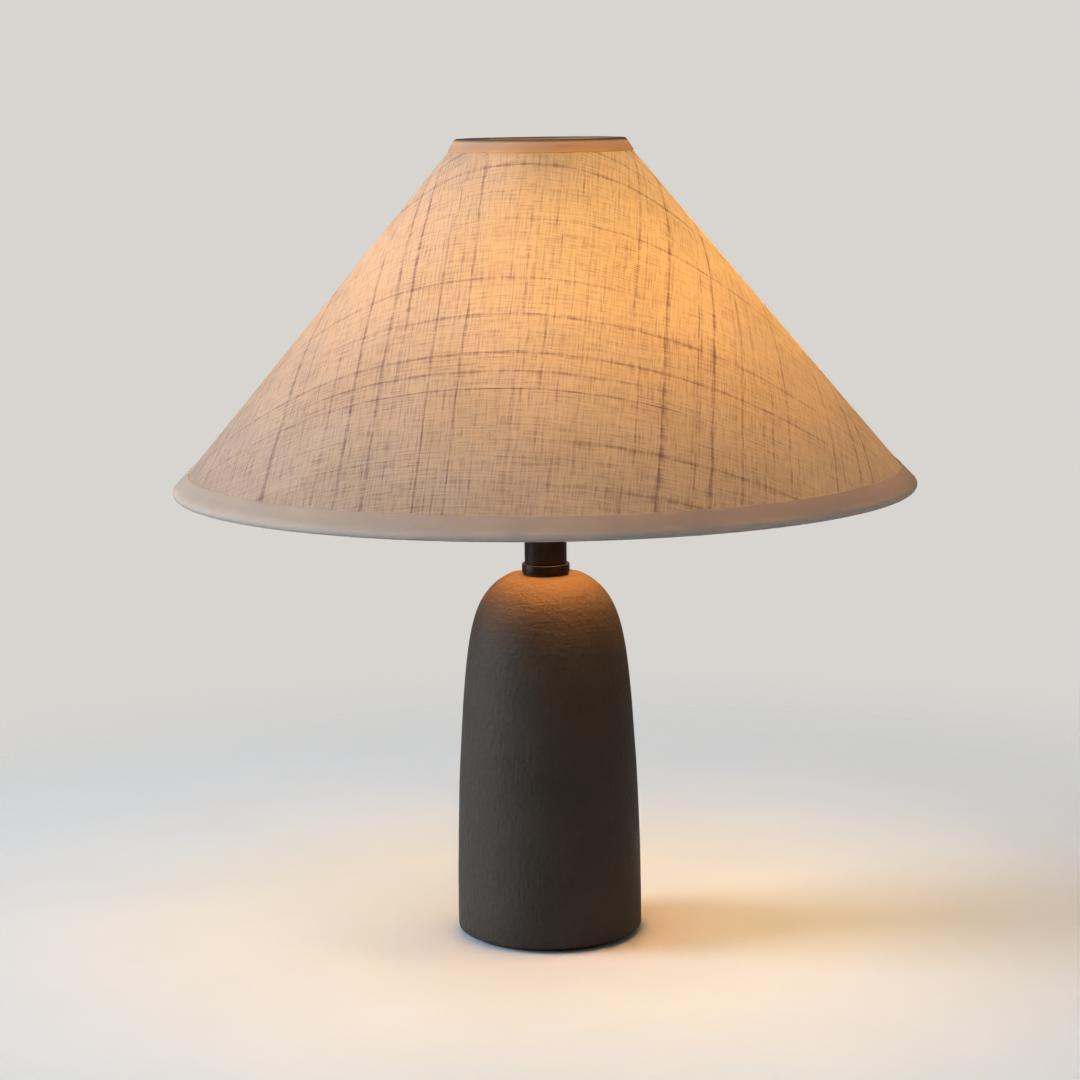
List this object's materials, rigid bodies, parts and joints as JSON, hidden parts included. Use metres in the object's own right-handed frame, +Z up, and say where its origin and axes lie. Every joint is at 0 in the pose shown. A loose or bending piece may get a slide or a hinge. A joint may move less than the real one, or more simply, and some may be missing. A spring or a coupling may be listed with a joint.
{
  "type": "table lamp",
  "caption": "Table lamp with a domed ceramic base, a slim dark neck and a wide conical fabric shade round a screw-in bulb.",
  "frame": {"origin": "middle of the felt pad's underside, on the table", "axes": "+Z up along the lamp's axis, +Y to the back, where the cord gland is, +X towards the switch knob"},
  "size_m": [0.4098, 0.4098, 0.4448],
  "materials": {
    "ceramic": "matt, finely pebbled glaze",
    "felt": "pressed felt",
    "zinc": "zinc plated",
    "rubber": "matt",
    "bronze": "satin dark bronze",
    "phenolic": "moulded, satin",
    "porcelain": "unglazed",
    "brass": "satin",
    "nickel": "nickel plated",
    "black_glass": "black, fired",
    "white_plastic": "satin",
    "opal": "opal, lit from inside",
    "board_white": "solder resist",
    "board_green": "solder resist",
    "linen": "slubbed linen, lit from behind",
    "lining": "translucent, matt",
    "tape": "folded cloth tape",
    "white_wire": "powder coated"
  },
  "bodies": {
    "base": {"base_pad": "felt", "base_body": "ceramic", "base_plate": "zinc", "base_washer": "zinc", "lock_washer": "zinc", "base_nut": "zinc", "stem_pipe": "zinc", "cord_gland": "rubber", "seat_gasket": "rubber", "neck_collar": "bronze", "neck_tube": "bronze", "neck_cap": "bronze", "holder_cap": "phenolic", "holder_grub_screw": "zinc", "holder_core": "porcelain", "holder_skirt": "phenolic", "screw_shell": "nickel", "centre_contact": "brass", "shade_ring_lower": "phenolic", "switch_module": "phenolic", "terminal_screw_back": "brass", "terminal_screw_front": "brass", "switch_bushing": "brass", "switch_bushing_nut": "brass"},
    "switch": {"switch_shaft": "brass", "switch_knob": "phenolic"},
    "upper_ring": {"shade_ring_upper": "phenolic"},
    "shade": {"fitter_ring": "white_wire", "spider_arm_1": "white_wire", "spider_arm_2": "white_wire", "spider_arm_3": "white_wire", "top_wire": "white_wire", "foot_wire": "white_wire", "shade_fabric": "linen", "shade_lining": "lining", "top_tape": "tape", "foot_tape": "tape"},
    "bulb_tip": {"bulb_contact": "brass"},
    "bulb": {"bulb_insulator": "black_glass", "bulb_cap": "nickel", "bulb_housing": "white_plastic", "led_driver": "board_green", "led_board": "board_white", "bulb_diffuser": "opal"}
  },
  "joints": [
    {"name": "switch_turn", "type": "hinge", "parent": "base", "child": "switch", "pos_m": [0.03, 0, 0.292], "axis": [1, 0, 0], "continuous": true},
    {"name": "upper_ring_lift", "type": "slide", "parent": "base", "child": "upper_ring", "axis": [0, 0, 1], "range_m": [0, 0.0145]},
    {"name": "shade_swivel", "type": "hinge", "parent": "base", "child": "shade", "pos_m": [0, 0, 0.3106], "axis": [0, 0, 1], "continuous": true},
    {"name": "bulb_lift", "type": "slide", "parent": "base", "child": "bulb_tip", "axis": [0, 0, 1], "range_m": [0, 0.0125]},
    {"name": "bulb_unscrew", "type": "hinge", "parent": "bulb_tip", "child": "bulb", "pos_m": [0, 0, 0.3046], "axis": [0, 0, 1], "range_deg": [0, 1245]}
  ],
  "couplings": [
    {"joint": "bulb_unscrew", "follows": "bulb_lift", "rad_per_m": 1731.6}
  ]
}
